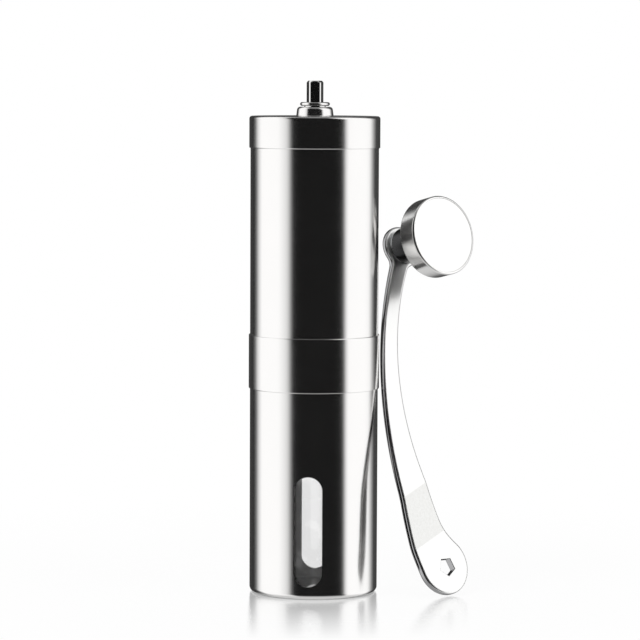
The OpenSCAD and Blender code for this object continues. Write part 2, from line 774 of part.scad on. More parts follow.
module knob_pin() color("#a9acb0") leaned() difference() {
    on_pin() {
        translate([0, 0, -2 * arm_t]) cylinder(d = pin_d, h = 2 * arm_t + core_top + run_gap);
        translate([0, 0, core_top + run_gap]) cylinder(d = pin_head_d, h = pin_head_t);
    }
    translate([crank_reach - pin_d, -pin_d, -3 * arm_t]) cube([2 * pin_d, 2 * pin_d, 2 * arm_t]);
}

module pin_washer() color("#a9acb0") leaned() difference() {
    on_pin() translate([0, 0, -washer_top]) ring(pin_washer_d / 2, pin_d / 2, 2 * washer_top);
    translate([crank_reach - pin_washer_d, -pin_washer_d, -3 * washer_top])
        cube([2 * pin_washer_d, 2 * pin_washer_d, 3 * washer_top]);
}

module knob_core() color("#26272a") leaned() on_pin() translate([0, 0, core_z]) difference() {
    union() {
        cylinder(d = neck_d - 2 * knob_wall, h = core_top - core_z);
        translate([0, 0, drum_z + knob_wall - core_z])
            cylinder(r = knob_d / 2 - knob_wall, h = core_top - drum_z - knob_wall);
    }
    translate([0, 0, -over]) cylinder(r = pin_d / 2 + run_gap, h = core_top + over);
}

module knob_shell() color("#d2d4d6") leaned() on_pin() rotate_extrude() difference() {
    union() {
        translate([0, core_z]) square([neck_d / 2, knob_rise - core_z - over]);
        translate([0, drum_z + drum_edge_r]) square([knob_d / 2, drum_h - 2 * drum_edge_r]);
        translate([0, drum_z]) square([knob_d / 2 - drum_edge_r, drum_h]);
        for (z = [drum_z, knob_rise - 2 * drum_edge_r])
            translate([knob_d / 2 - drum_edge_r, z + drum_edge_r]) circle(drum_edge_r);
    }
    square([neck_d / 2 - knob_wall, drum_z + 2 * knob_wall]);
    translate([0, drum_z + knob_wall]) square([knob_d / 2 - knob_wall, drum_h]);
}

module knob_face() color("#dcddde") leaned() on_pin() translate([0, 0, knob_rise - knob_face_t - face_gap])
    cylinder(r = knob_face_r, h = knob_face_t);

catch_cup();
cup_liner();
joint_band();
hopper_tube();
burr_carrier();
ring_burr();
burr_retainer();
retainer_screws();
upper_bridge();
upper_bush();
lower_bush();
drive_shaft();
shaft_clip();
burr_spring();
spring_washer();
cone_burr();
click_plate();
adjuster_knob();
adjuster_insert();
lid();
lid_liner();
crank_arm();
knob_pin();
pin_washer();
knob_core();
knob_shell();
knob_face();
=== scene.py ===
import json
import math

import bmesh
import bpy
from mathutils import Matrix, Vector


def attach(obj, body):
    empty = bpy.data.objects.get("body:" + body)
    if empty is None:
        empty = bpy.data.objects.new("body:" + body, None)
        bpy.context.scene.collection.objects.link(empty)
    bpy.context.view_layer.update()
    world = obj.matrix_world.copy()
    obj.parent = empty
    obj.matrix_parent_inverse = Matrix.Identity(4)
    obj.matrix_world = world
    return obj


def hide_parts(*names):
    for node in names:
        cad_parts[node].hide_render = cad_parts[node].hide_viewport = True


# Hand crank coffee grinder: steel hopper over a catch cup, with the crank taken off and leaning on it.
# Sizes in the dictionaries are millimetres unless a note says otherwise.
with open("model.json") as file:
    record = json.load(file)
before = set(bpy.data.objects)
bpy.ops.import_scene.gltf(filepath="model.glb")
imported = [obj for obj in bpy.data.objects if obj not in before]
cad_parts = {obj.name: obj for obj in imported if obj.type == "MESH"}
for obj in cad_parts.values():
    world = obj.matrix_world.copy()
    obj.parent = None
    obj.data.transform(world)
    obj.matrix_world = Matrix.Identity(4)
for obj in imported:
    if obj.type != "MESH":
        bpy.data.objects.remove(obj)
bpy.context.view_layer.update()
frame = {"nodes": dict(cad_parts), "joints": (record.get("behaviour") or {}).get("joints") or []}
nodes = frame["nodes"]
scene = bpy.context.scene
mm = 0.001
bodySteps, knobSteps, shaftSteps = 360, 256, 128  # faces once round each turned piece


def linear(code, alpha=1.0):
    # sRGB hex to the linear colour that a shader reads
    parts = [int(code[i : i + 2], 16) / 255 for i in (1, 3, 5)]
    return [*(p / 12.92 if p <= 0.04045 else ((p + 0.055) / 1.055) ** 2.4 for p in parts), alpha]


def addNode(tree, kind, values=None, **settings):
    # values: socket -> number, colour or another node's output
    node = tree.nodes.new(kind)
    for name, value in settings.items():
        setattr(node, name, value)
    for socket, value in (values or {}).items():
        if isinstance(value, bpy.types.NodeSocket):
            tree.links.new(value, node.inputs[socket])
        else:
            node.inputs[socket].default_value = value
    return node


def newMaterial(name, **sockets):
    # sockets: Principled socket, with its spaces left out -> value
    material = bpy.data.materials.new(name)
    material.use_nodes = True
    shader = material.node_tree.nodes["Principled BSDF"]
    for socket in shader.inputs:
        value = sockets.get(socket.name.replace(" ", ""))
        if value is not None:
            socket.default_value = value
    return material, material.node_tree, shader


patternSpan = (0.3, 0.7)  # where nearly all of a noise pattern's values lie


def dressShader(tree, shader, look, tintBy, roughBy, reliefBy, depth):
    # colour, roughness and relief of a finish, each led by a pattern's output
    tint = addNode(
        tree,
        "ShaderNodeMix",
        {"Factor": tintBy, 6: linear(look["colours"][0]), 7: linear(look["colours"][1])},
        data_type="RGBA",
    )
    rough = addNode(
        tree,
        "ShaderNodeMapRange",
        {
            "Value": roughBy,
            "From Min": patternSpan[0],
            "From Max": patternSpan[1],
            "To Min": look["rough"][0],
            "To Max": look["rough"][1],
        },
    )
    bump = addNode(
        tree, "ShaderNodeBump", {"Height": reliefBy, "Strength": look["relief"], "Distance": depth * mm}
    )
    tree.links.new(tint.outputs[2], shader.inputs["Base Color"])
    tree.links.new(rough.outputs["Result"], shader.inputs["Roughness"])
    tree.links.new(bump.outputs["Normal"], shader.inputs["Normal"])


def steelFinish(name, look):
    # turned or brushed steel: lines along the tool's path, with faint smudges in the polish
    material, tree, shader = newMaterial(
        name,
        Metallic=1.0,
        Anisotropic=look.get("anisotropy", 0.0),
        AnisotropicRotation=look.get("turn", 0.0),
    )
    turned = addNode(tree, "ShaderNodeTexCoord").outputs["Object"]
    if "frame" in look:  # pieces that lean: turn their own axes upright first
        spin = look["frame"].inverted().to_euler()
        turned = addNode(
            tree, "ShaderNodeMapping", {"Vector": turned, "Rotation": list(spin)}
        ).outputs["Vector"]
    across, along = 1 / (look["line"] * mm), 1 / (look["lineLength"] * mm)
    stretch = [across if axis == look["across"] else along for axis in "xyz"]
    stretched = addNode(tree, "ShaderNodeMapping", {"Vector": turned, "Scale": stretch})
    lines = addNode(
        tree,
        "ShaderNodeTexNoise",
        {"Vector": stretched.outputs["Vector"], "Scale": 1.0, "Detail": 3.0, "Roughness": 0.6},
    )
    smudges = addNode(
        tree,
        "ShaderNodeTexNoise",
        {"Vector": turned, "Scale": 1 / (look["smudge"] * mm), "Detail": 4.0, "Roughness": 0.55},
    )
    halved = addNode(tree, "ShaderNodeMath", {0: smudges.outputs["Fac"], 1: 0.5}, operation="MULTIPLY")
    mixed = addNode(
        tree,
        "ShaderNodeMath",
        {0: lines.outputs["Fac"], 1: 0.5, 2: halved.outputs[0]},
        operation="MULTIPLY_ADD",
    )
    both, scratch = mixed.outputs[0], lines.outputs["Fac"]
    dressShader(tree, shader, look, both, both, scratch, look["line"] * 0.1)
    if "anisotropy" in look:
        around = addNode(tree, "ShaderNodeTangent", direction_type="RADIAL", axis="Z")
        tree.links.new(around.outputs["Tangent"], shader.inputs["Tangent"])
    return material


def mouldedFinish(name, look):
    # moulded, sintered or turned solid: fine grain, with slow shifts in tone
    material, tree, shader = newMaterial(name, IOR=look["ior"], Metallic=look.get("metallic", 0.0))
    place = addNode(tree, "ShaderNodeTexCoord").outputs["Object"]
    grain, cloud = [
        addNode(
            tree,
            "ShaderNodeTexNoise",
            {"Vector": place, "Scale": 1 / (look[pattern] * mm), "Detail": 3.0, "Roughness": roughness},
        ).outputs["Fac"]
        for pattern, roughness in (("grain", 0.6), ("cloud", 0.5))
    ]
    dressShader(tree, shader, look, cloud, grain, grain, look["grain"] * 0.2)
    return material


# The leaning crank: local x from drive hole to knob pin, local z out of the plate on its knob side
lean = {
    "turn": 38,  # degrees, as all of these but the reach
    "tip": 69.5,
    "roll": 84.9,
    "reach": 123.7,
    "knob": 7.8,
    "knobTurn": 196,
}
knobJoint = next(joint for joint in frame["joints"] if joint["name"] == "knob_spin")
crankTurn = (
    Matrix.Rotation(math.radians(lean["turn"]), 4, "Z")
    @ Matrix.Rotation(math.radians(lean["tip"]), 4, "X")
    @ Matrix.Rotation(math.radians(lean["roll"]), 4, "Z")
)
knobTurn = (
    crankTurn
    @ Matrix.Rotation(math.radians(lean["knobTurn"]), 4, "Z")
    @ Matrix.Rotation(math.radians(lean["knob"]), 4, "Y")
)
pinPlace = Matrix.Translation(Vector(knobJoint["pos_m"]))
knobPlace = pinPlace @ knobTurn
crankPlace = pinPlace @ crankTurn @ Matrix.Translation((-lean["reach"] * mm, 0, 0))

# Stainless sheet, lathe brushed: bright, with fine rings round the axis that draw reflections out upwards
brushedSteel = steelFinish(
    "brushedStainlessSheet",
    {
        "colours": ("#E7E6E5", "#EEEDEC"),
        "rough": (0.16, 0.2),
        "line": 0.3,  # real lines are about 0.05, drawn coarser so that they show
        "lineLength": 18,
        "across": "z",
        "smudge": 14,
        "relief": 0.05,
        "anisotropy": 0.6,
        "turn": 0.25,
    },
)
# Inside of the cup: left as drawn, so duller than the brushed outside
drawnSteel = steelFinish(
    "drawnStainlessInside",
    {
        "colours": ("#E6E6E5", "#EEEEED"),
        "rough": (0.6, 0.7),
        "line": 0.4,
        "lineLength": 12,
        "across": "x",
        "smudge": 10,
        "relief": 0.05,
    },
)
# Polished bar steel of the drive shaft: almost mirror bright
polishedSteel = steelFinish(
    "polishedShaftSteel",
    {
        "colours": ("#E6E5E4", "#EEEEED"),
        "rough": (0.06, 0.1),
        "line": 0.2,
        "lineLength": 6,
        "across": "z",
        "smudge": 5,
        "relief": 0.03,
    },
)
# Blanked plate, tumbled until its edges are round: soft bright sheen with faint lines along the arm
tumbledSteel = steelFinish(
    "tumbledStainlessPlate",
    {
        "colours": ("#EFEFEE", "#F6F6F5"),
        "rough": (0.27, 0.33),
        "line": 0.3,
        "lineLength": 14,
        "across": "y",
        "frame": crankTurn,
        "smudge": 9,
        "relief": 0.05,
    },
)
# Blanked edge of the plate and walls of its holes: shinier than the tumbled faces, and painted darker:
# painted shade for the dark reflections along the round edges
edgePaintedShadeSteel = steelFinish(
    "stainlessEdgePaintedShade",
    {
        "colours": ("#9A9A9B", "#AEAEAF"),
        "rough": (0.08, 0.13),
        "line": 0.25,
        "lineLength": 2.0,
        "across": "x",
        "frame": crankTurn,
        "smudge": 1.6,
        "relief": 0.08,
    },
)
# Between the bends the plate is painted greyer and mottled: painted reflection of a darker part of the
# studio, which the tilted ramp mirrors
rampPaintedReflectionSteel = steelFinish(
    "stainlessRampPaintedReflection",
    {
        "colours": ("#D2D2CF", "#FCFCFB"),
        "rough": (0.3, 0.42),
        "line": 0.9,
        "lineLength": 1.1,
        "across": "y",
        "frame": crankTurn,
        "smudge": 0.8,
        "relief": 0.12,
    },
)
# Spun and polished shell of the knob
spunSteel = steelFinish(
    "spunKnobSteel",
    {
        "colours": ("#EFEEED", "#F5F5F4"),
        "rough": (0.17, 0.24),
        "line": 0.25,
        "lineLength": 10,
        "across": "z",
        "frame": knobTurn,
        "smudge": 8,
        "relief": 0.05,
    },
)
# Neck of the knob: spun steel, painted near black: painted shade and painted reflection of the dark arm and
# floor under the knob
neckPaintedShadeSteel = steelFinish(
    "spunNeckPaintedShade",
    {
        "colours": ("#2F2F30", "#49494A"),
        "rough": (0.22, 0.3),
        "line": 0.4,
        "lineLength": 3,
        "across": "x",
        "frame": knobTurn,
        "smudge": 2.5,
        "relief": 0.05,
    },
)
# Small steel hardware: bright zinc, a little cloudy
platedSteel = steelFinish(
    "zincPlatedHardware",
    {
        "colours": ("#B9BBBD", "#CBCCCD"),
        "rough": (0.22, 0.34),
        "line": 0.2,
        "lineLength": 1.5,
        "across": "z",
        "smudge": 2.5,
        "relief": 0.08,
    },
)
# Nylon of carrier, bridge and adjuster: near black, fine spark-eroded texture
blackNylon = mouldedFinish(
    "blackGlassFilledNylon",
    {
        "colours": ("#1B1C1E", "#26272A"),
        "rough": (0.42, 0.6),
        "grain": 0.25,
        "cloud": 9,
        "relief": 0.25,
        "ior": 1.53,
    },
)
# Acetal bushes: milky, waxy, smooth
milkyAcetal = mouldedFinish(
    "naturalAcetal",
    {
        "colours": ("#D9D4C6", "#E6E2D6"),
        "rough": (0.28, 0.38),
        "grain": 0.4,
        "cloud": 4,
        "relief": 0.06,
        "ior": 1.48,
    },
)
# Alumina burrs: sintered, off-white, matt with a dry fine grain
sinteredAlumina = mouldedFinish(
    "sinteredAlumina",
    {
        "colours": ("#E3DCCB", "#F0EBDF"),
        "rough": (0.45, 0.62),
        "grain": 0.2,
        "cloud": 5,
        "relief": 0.2,
        "ior": 1.77,
    },
)
# Turned brass insert
turnedBrass = mouldedFinish(
    "turnedBrass",
    {
        "colours": ("#C8A04A", "#D6B25E"),
        "rough": (0.2, 0.32),
        "grain": 0.3,
        "cloud": 3,
        "relief": 0.1,
        "ior": 1.5,
        "metallic": 1.0,
    },
)
# Copolyester cup liner: clear, smooth, with a very light rub haze
linerLook = {"colour": "#F7F7F7", "ior": 1.57, "haze": 6, "hazeSpan": (0.35, 0.7), "rough": (0.0, 0.03)}
clearCopolyester, tree, shader = newMaterial(
    "clearCopolyester",
    BaseColor=linear(linerLook["colour"]),
    IOR=linerLook["ior"],
    TransmissionWeight=1.0,
)
haze = addNode(
    tree,
    "ShaderNodeTexNoise",
    {
        "Vector": addNode(tree, "ShaderNodeTexCoord").outputs["Object"],
        "Scale": 1 / (linerLook["haze"] * mm),
        "Detail": 3.0,
    },
)
rub = addNode(
    tree,
    "ShaderNodeMapRange",
    {
        "Value": haze.outputs["Fac"],
        "From Min": linerLook["hazeSpan"][0],
        "From Max": linerLook["hazeSpan"][1],
        "To Min": linerLook["rough"][0],
        "To Max": linerLook["rough"][1],
    },
)
tree.links.new(rub.outputs["Result"], shader.inputs["Roughness"])
print("materials ready")


def lathe(outline, steps, place=None, softening=4):
    # outline: (radius, height, rounding) round the section; points on the axis close it
    work = bmesh.new()
    corners = [work.verts.new((r * mm, 0, z * mm)) for r, z, _ in outline]
    for a, b in zip(corners, corners[1:] + corners[:1]):
        if a.co.x > 0 or b.co.x > 0:
            work.edges.new((a, b))
    bmesh.ops.spin(
        work,
        geom=work.verts[:] + work.edges[:],
        cent=(0, 0, 0),
        axis=(0, 0, 1),
        angle=2 * math.pi,
        steps=steps,
        use_merge=True,
    )
    bmesh.ops.remove_doubles(work, verts=work.verts, dist=1e-7)
    bmesh.ops.recalc_face_normals(work, faces=work.faces)
    for r, z, rounding in outline:
        if rounding:
            roundOff(work, ringEdges(work, r, z), rounding, softening)
    if place:
        bmesh.ops.transform(work, matrix=place, verts=work.verts)
    return work


def ringEdges(work, r, z, near=1e-6):
    # the edges of one ring round the axis
    level = [v for v in work.verts if abs(v.co.z - z * mm) < near]
    onRing = {v for v in level if abs(math.hypot(v.co.x, v.co.y) - r * mm) < near}
    return [e for e in work.edges if all(v in onRing for v in e.verts)]


def turnAbout(work, verts, degrees):
    # turns vertices about the z axis
    matrix = Matrix.Rotation(math.radians(degrees), 3, "Z")
    bmesh.ops.rotate(work, cent=(0, 0, 0), matrix=matrix, verts=verts)


def everything(work):
    # what a cutting plane works on
    return work.verts[:] + work.edges[:] + work.faces[:]


def roundOff(work, edges, rounding, segments=4):
    # rounding: how far it reaches from the edge, in millimetres
    bmesh.ops.bevel(
        work,
        geom=edges,
        offset=rounding * mm,
        offset_type="OFFSET",
        segments=segments,
        profile=0.5,
        affect="EDGES",
        material=-1,
    )


def makePiece(name, work, body, materials, standsFor, sharp=38):
    mesh = bpy.data.meshes.new(name)
    work.to_mesh(mesh)
    work.free()
    mesh.shade_smooth()
    mesh.set_sharp_from_angle(angle=math.radians(sharp))
    for material in materials:
        mesh.materials.append(material)
    piece = bpy.data.objects.new(name, mesh)
    scene.collection.objects.link(piece)
    normals = piece.modifiers.new("evenNormals", "WEIGHTED_NORMAL")
    normals.keep_sharp = True
    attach(piece, body)
    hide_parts(*standsFor)
    print("piece", name, len(mesh.polygons), "faces")
    return piece


# Catch cup: drawn steel with two window slots and a round bottom edge
cupSizes = {
    "radius": 23.75,
    "wall": 0.5,
    "height": 85.5,
    "edge": 2.0,
    "rim": 0.12,
    "slotWidth": 10.3,
    "slotHeight": 40.4,
    "slotFoot": 4.9,
    "slotTurns": (-4.75, 178.25),  # degrees about the axis, 0 facing -Y
    "slotSoftening": 0.18,
    "cutterDepth": 20,
    "cutterCentre": 24,  # from the axis
}


def slotCutter(sizes, turn):
    # a long stadium that points out along -Y: a slab whose four long edges are rounded off
    work = bmesh.new()
    half = sizes["slotWidth"] / 2 * mm
    low, high = sizes["slotFoot"] * mm, (sizes["slotFoot"] + sizes["slotHeight"]) * mm
    bmesh.ops.create_cube(work, size=1)
    bmesh.ops.scale(work, vec=(2 * half, sizes["cutterDepth"] * mm, high - low), verts=work.verts)
    centre = (0, -sizes["cutterCentre"] * mm, (low + high) / 2)
    bmesh.ops.translate(work, vec=centre, verts=work.verts)
    lengthways = [e for e in work.edges if abs(e.verts[0].co.y - e.verts[1].co.y) > half]
    roundOff(work, lengthways, sizes["slotWidth"] / 2 * 0.9999, 24)  # just short of where the two arcs meet
    turnAbout(work, work.verts, turn)
    mesh = bpy.data.meshes.new("slotCutter")
    work.to_mesh(mesh)
    work.free()
    cutter = bpy.data.objects.new("slotCutter", mesh)
    scene.collection.objects.link(cutter)
    return cutter


def carve(work, cutters):
    # takes the cutters' shapes out of work, and removes them
    mesh = bpy.data.meshes.new("blank")
    work.to_mesh(mesh)
    work.free()
    blank = bpy.data.objects.new("blank", mesh)
    scene.collection.objects.link(blank)
    for cutter in cutters:
        cut = blank.modifiers.new("cut", "BOOLEAN")
        cut.operation, cut.solver, cut.object = "DIFFERENCE", "EXACT", cutter
    bpy.context.view_layer.update()
    done = blank.evaluated_get(bpy.context.evaluated_depsgraph_get())
    carved = bmesh.new()
    carved.from_mesh(done.to_mesh())
    done.to_mesh_clear()
    for piece in [blank, *cutters]:
        bpy.data.objects.remove(piece)
    return carved


s = cupSizes
inside = s["radius"] - s["wall"]
cup = lathe(
    [
        (0, 0, 0),
        (s["radius"], 0, s["edge"]),
        (s["radius"], s["height"], s["rim"]),
        (inside, s["height"], s["rim"]),
        (inside, s["wall"], s["edge"] - s["wall"] / 2),
        (0, s["wall"], 0),
    ],
    bodySteps,
    softening=8,
)
cup = carve(cup, [slotCutter(s, turn) for turn in s["slotTurns"]])
slotEdges = [
    e
    for e in cup.edges
    if len(e.link_faces) == 2
    and e.calc_face_angle(0) > math.radians(60)
    and all(s["slotFoot"] - 1 < v.co.z / mm < s["slotFoot"] + s["slotHeight"] + 1 for v in e.verts)
]
roundOff(cup, slotEdges, s["slotSoftening"], 2)
for face in cup.faces:  # the inside keeps its drawn finish
    spot = face.calc_center_median()
    if math.hypot(spot.x, spot.y) < (inside + 0.02) * mm and spot.z > s["wall"] * 0.6 * mm:
        face.material_index = 1
makePiece("catchCupSheet", cup, "cup", [brushedSteel, drawnSteel], ["catch_cup"])

# Joint band: a short ring that holds cup and tube in line, its edges broken
bandSizes = {
    "radius": 24.22,
    "fit": 23.82,
    "tube": 23.75,
    "low": 76,
    "step": 85.57,
    "high": 96,
    "edge": 0.3,
}
s = bandSizes
makePiece(
    "jointBandRing",
    lathe(
        [
            (s["fit"], s["low"], 0),
            (s["radius"], s["low"], s["edge"]),
            (s["radius"], s["high"], s["edge"]),
            (s["tube"], s["high"], 0),
            (s["tube"], s["step"], 0),
            (s["fit"], s["step"], 0),
        ],
        bodySteps,
    ),
    "upper",
    [brushedSteel],
    ["joint_band"],
)

# Hopper tube
tubeSizes = {"radius": 23.75, "wall": 0.6, "low": 85.57, "high": 175.63, "edge": 0.15}
s = tubeSizes
makePiece(
    "hopperTubeSheet",
    lathe(
        [
            (s["radius"] - s["wall"], s["low"], s["edge"]),
            (s["radius"], s["low"], s["edge"]),
            (s["radius"], s["high"], s["edge"]),
            (s["radius"] - s["wall"], s["high"], s["edge"]),
        ],
        bodySteps,
    ),
    "upper",
    [brushedSteel],
    ["hopper_tube"],
)

# Lid: skirt with a rolled lower rim, round shoulder and a short neck for the shaft
lidSizes = {
    "radius": 24.22,
    "wall": 0.4,
    "low": 165,
    "top": 176.8,
    "shoulder": 1.0,
    "neckTop": 180.2,
    "neckFoot": 6.9,
    "neckRim": 6.5,
    "neckShoulder": 1.1,
    "neckHole": 5.7,
    "rim": 0.3,
    "hem": 0.12,
    "neckRoot": 0.25,
}
s = lidSizes
makePiece(
    "lidPressing",
    lathe(
        [
            (s["radius"] - s["wall"], s["low"], s["hem"]),
            (s["radius"], s["low"], s["rim"]),
            (s["radius"], s["top"], s["shoulder"]),
            (s["neckFoot"], s["top"], s["neckRoot"]),
            (s["neckRim"], s["neckTop"], s["neckShoulder"]),
            (s["neckHole"], s["neckTop"], 0),
            (s["neckHole"], s["top"] - s["wall"], 0),
            (s["radius"] - s["wall"], s["top"] - s["wall"], 0),
        ],
        bodySteps,
        softening=8,
    ),
    "lid_set",
    [brushedSteel],
    ["lid"],
)
print("body done")

# Drive shaft: pentagon head turned to a cone at its top, flange, journal, collar and threaded end
shaftSizes = {
    "headRadius": 3.42,
    "headFoot": 181.9,
    "headTop": 189.8,
    "headCone": 0.9,
    "headCorner": 0.6,
    "headTurn": 0,  # degrees: one corner at +Y, one flat side to -Y
    "flange": 5.5,
    "flangeFoot": 180.5,
    "flangeEdge": 0.69,
    "journal": 4,
    "journalFoot": 153.26,
    "collar": 5.4,
    "collarFoot": 168.2,
    "collarTop": 169.7,
    "collarEdge": 0.2,
    "groove": 3.5,
    "grooveFoot": 159.26,
    "grooveTop": 160.06,
    "rod": 3,
    "rodFoot": 78.7,
    "edge": 0.3,
    "thread": 2.5,
    "threadFoot": 58.93,
    "flats": 2,
}


def pentagonHead(s):
    work = bmesh.new()
    bmesh.ops.create_circle(work, cap_ends=True, segments=5, radius=s["headRadius"] * mm)
    turnAbout(work, work.verts, s["headTurn"])
    bmesh.ops.translate(work, vec=(0, 0, s["headFoot"] * mm), verts=work.verts)
    tall = (s["headTop"] - s["headFoot"]) * mm
    top = bmesh.ops.extrude_face_region(work, geom=work.faces[:])
    raised = [v for v in top["geom"] if isinstance(v, bmesh.types.BMVert)]
    bmesh.ops.translate(work, vec=(0, 0, tall), verts=raised)
    bmesh.ops.recalc_face_normals(work, faces=work.faces)

    def rise(e):
        return abs(e.verts[0].co.z - e.verts[1].co.z)

    roundOff(work, [e for e in work.edges if rise(e) > tall / 2], s["headCorner"], 4)
    level = [e for e in work.edges if e.calc_length() > 2 * mm and rise(e) < 1e-7]
    bmesh.ops.subdivide_edges(work, edges=level, cuts=11, use_grid_fill=True)
    for share in (0, 0.25, 0.5, 0.75, 0.9):  # rows for the cone
        height = (s["headTop"] - s["headCone"] * (1 - share)) * mm
        bmesh.ops.bisect_plane(work, geom=everything(work), plane_co=(0, 0, height), plane_no=(0, 0, 1))
    for v in work.verts:
        over = v.co.z / mm - (s["headTop"] - s["headCone"])
        if over > -0.001:
            limit = (s["headRadius"] - over) * mm
            away = math.hypot(v.co.x, v.co.y)
            if away > limit:
                v.co.x, v.co.y = v.co.x * limit / away, v.co.y * limit / away
    return work


s = shaftSizes
shaft = lathe(
    [
        (0, s["headFoot"], 0),
        (s["flange"], s["headFoot"], s["flangeEdge"]),
        (s["flange"], s["flangeFoot"], s["flangeEdge"]),
        (s["journal"], s["flangeFoot"], 0),
        (s["journal"], s["collarTop"], 0),
        (s["collar"], s["collarTop"], s["collarEdge"]),
        (s["collar"], s["collarFoot"], s["collarEdge"]),
        (s["journal"], s["collarFoot"], 0),
        (s["journal"], s["grooveTop"], 0),
        (s["groove"], s["grooveTop"], 0),
        (s["groove"], s["grooveFoot"], 0),
        (s["journal"], s["grooveFoot"], 0),
        (s["journal"], s["journalFoot"], s["edge"]),
        (s["rod"], s["journalFoot"], 0),
        (s["rod"], s["rodFoot"], s["edge"]),
        (0, s["rodFoot"], 0),
    ],
    shaftSteps,
    softening=6,
)
headMesh = bpy.data.meshes.new("head")
head = pentagonHead(s)
head.to_mesh(headMesh)
head.free()
shaft.from_mesh(headMesh)
stub = bmesh.new()  # threaded end with two flats
radius, tall, middle = s["thread"] * mm, s["rodFoot"] - s["threadFoot"], (s["rodFoot"] + s["threadFoot"]) / 2
bmesh.ops.create_cone(stub, cap_ends=True, segments=96, radius1=radius, radius2=radius, depth=tall * mm)
for v in stub.verts:
    v.co.y = max(-s["flats"] * mm, min(s["flats"] * mm, v.co.y))
bmesh.ops.translate(stub, vec=(0, 0, middle * mm), verts=stub.verts)
stub.to_mesh(headMesh)
stub.free()
shaft.from_mesh(headMesh)
makePiece("driveShaftBar", shaft, "shaft", [polishedSteel], ["drive_shaft"], sharp=30)
print("shaft done")

# Crank arm: a sickle blanked from plate, stepped by two bends, its edges tumbled round
armSizes = {
    "thickness": 2.9,
    "hubCentre": (0.7, 0.9),
    "hubRadius": 11.1,
    "endRadius": 8,
    "outerCentre": (49.975, -143.843),
    "outerRadius": 164,
    "innerCentre": (64.819, -97.9),
    "innerRadius": 109,
    "flareRadius": 30,
    "fillet": 4,
    "edge": 1.1,
    "step": 3.2,
    "bends": (11.8, 30.8),
    "bendTurn": 27.3,  # degrees
    "bendHalf": 2.5,
    "bendCuts": 4,  # rows of faces in each half of a bend
    "socketRadius": 3.6,
    "socketMouth": 3.9,
    "socketTurn": 22,  # degrees from a corner on local +y
    "pinHole": 3.0,
}


def meet(a, ra, b, rb):
    # where two circles cross, on the left of the way from a to b
    a, b = Vector(a), Vector(b)
    d = (b - a).length
    e = (b - a) / d
    along = (d * d + ra * ra - rb * rb) / (2 * d)
    return a + along * e + math.sqrt(ra * ra - along * along) * Vector((-e.y, e.x))


def heading(c, p):
    return math.atan2(p[1] - c[1], p[0] - c[0])


def armLoop(work, s, inset, height):
    # one closed line round the arm, set in from its edge: seven arcs, each spun from the last point
    hub, outer, inner, pin = s["hubCentre"], s["outerCentre"], s["innerCentre"], (lean["reach"], 0)
    flare = meet(hub, s["hubRadius"] + s["flareRadius"], inner, s["innerRadius"] - s["flareRadius"])
    outerFillet = meet(outer, s["outerRadius"] + s["fillet"], pin, s["endRadius"] + s["fillet"])
    innerFillet = meet(inner, s["innerRadius"] - s["fillet"], pin, s["endRadius"] + s["fillet"])
    full = 2 * math.pi
    hubFrom = heading(outer, hub)
    endFrom = heading(pin, innerFillet)
    arcs = [
        (hub, hubFrom, heading(hub, flare) + full, 56),
        (flare, heading(flare, hub), heading(inner, flare), 14),
        (inner, heading(inner, flare), heading(inner, innerFillet), 44),
        (innerFillet, heading(inner, innerFillet), heading(innerFillet, pin), 10),
        (pin, endFrom - (full if endFrom > 0 else 0), heading(pin, outerFillet), 40),
        (outerFillet, heading(outerFillet, pin), heading(outerFillet, outer), 10),
        (outer, heading(outer, outerFillet), hubFrom, 56),
    ]
    start = Vector(hub) + (s["hubRadius"] - inset) * Vector((math.cos(hubFrom), math.sin(hubFrom)))
    tip = work.verts.new((start.x * mm, start.y * mm, height * mm))
    made = [tip]
    for centre, first, last, steps in arcs:
        swept = bmesh.ops.spin(
            work,
            geom=[tip],
            cent=(centre[0] * mm, centre[1] * mm, height * mm),
            axis=(0, 0, 1),
            angle=last - first,
            steps=steps,
        )
        tip = next(v for v in swept["geom_last"] if isinstance(v, bmesh.types.BMVert))
        made.append(tip)
    bmesh.ops.remove_doubles(work, verts=[made[0], made[-1]], dist=1e-5)


def quarter(edge, steps):
    # inset and depth of the points round a quarter circle, from the flat face to the side
    for i in range(steps + 1):
        a = math.pi / 2 * i / steps
        yield edge * (1 - math.sin(a)), edge * (1 - math.cos(a))


def rampHeight(u, s):
    # height of the plate at distance u along the bend direction: hub, ramp, blade, with eased bends
    def eased(t, half):
        return 0 if t < -half else t if t > half else (t + half) ** 2 / (4 * half)

    near, far = s["bends"]
    slope = s["step"] / (far - near)
    return -s["step"] + slope * (eased(u - near, s["bendHalf"]) - eased(u - far, s["bendHalf"]))


def ringStack(work, drawRing, rows):
    # draws a ring for each row and bridges each to the one before
    before, first = None, None
    for row in rows:
        known = set(work.edges)
        drawRing(work, *row)
        now = [e for e in work.edges if e not in known]
        if before:
            bmesh.ops.bridge_loops(work, edges=before + now)
        before, first = now, first or now
    return first, before


s = armSizes
t = s["thickness"]
arm = bmesh.new()
faceRows = list(quarter(s["edge"], 7))
sideRows = [(inset, -depth) for inset, depth in faceRows]
sideRows += [(inset, depth - t) for inset, depth in reversed(faceRows)]


def drawEdge(work, inset, height):
    armLoop(work, s, inset, height)


def drawSocket(work, radius, height):
    ring = bmesh.ops.create_circle(work, segments=5, radius=radius * mm)
    turnAbout(work, ring["verts"], s["socketTurn"])
    bmesh.ops.translate(work, vec=(0, 0, height * mm), verts=ring["verts"])


def drawPinHole(work, radius, height):
    ring = bmesh.ops.create_circle(work, segments=48, radius=radius * mm)
    aside = height * math.tan(math.radians(lean["knob"]))  # the pin leans with the knob
    turn = math.radians(lean["knobTurn"])
    centre = (lean["reach"] + aside * math.cos(turn), aside * math.sin(turn), height)
    bmesh.ops.translate(work, vec=Vector(centre) * mm, verts=ring["verts"])


